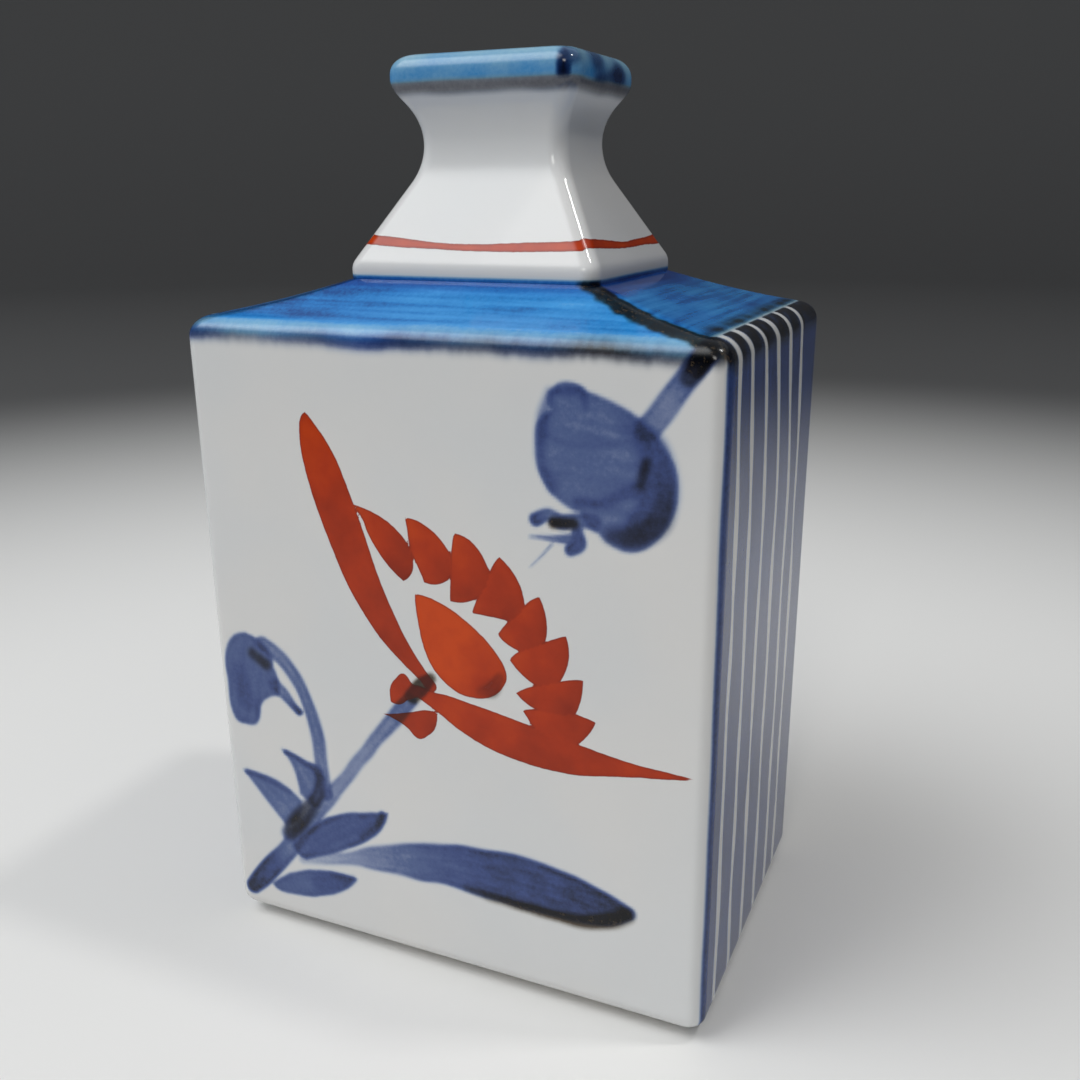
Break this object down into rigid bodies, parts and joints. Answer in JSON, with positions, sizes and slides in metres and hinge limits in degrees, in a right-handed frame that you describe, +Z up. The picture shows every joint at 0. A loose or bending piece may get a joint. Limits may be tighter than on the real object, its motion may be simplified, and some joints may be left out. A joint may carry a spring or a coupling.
{
  "type": "sake bottle",
  "caption": "Small rectangular porcelain sake bottle with a hipped shoulder, a flared rectangular neck and a rolled lip, hollow and open at the mouth.",
  "frame": {"origin": "middle of the footprint, at the level of the foot ring's resting face", "axes": "+Z up through the mouth, X along the wide faces, the painted front face looks along -Y, +Y to the back"},
  "size_m": [0.07, 0.048, 0.117],
  "materials": {
    "painted_face": "gloss",
    "striped_face": "gloss",
    "blue_glaze": "gloss",
    "white_glaze": "gloss",
    "bare_clay": "matte"
  },
  "bodies": {
    "root": {"foot_ring": "bare_clay", "base": "white_glaze", "front_wall": "painted_face", "back_wall": "painted_face", "left_wall": "striped_face", "right_wall": "striped_face", "shoulder": "blue_glaze", "neck": "white_glaze"}
  },
  "joints": []
}
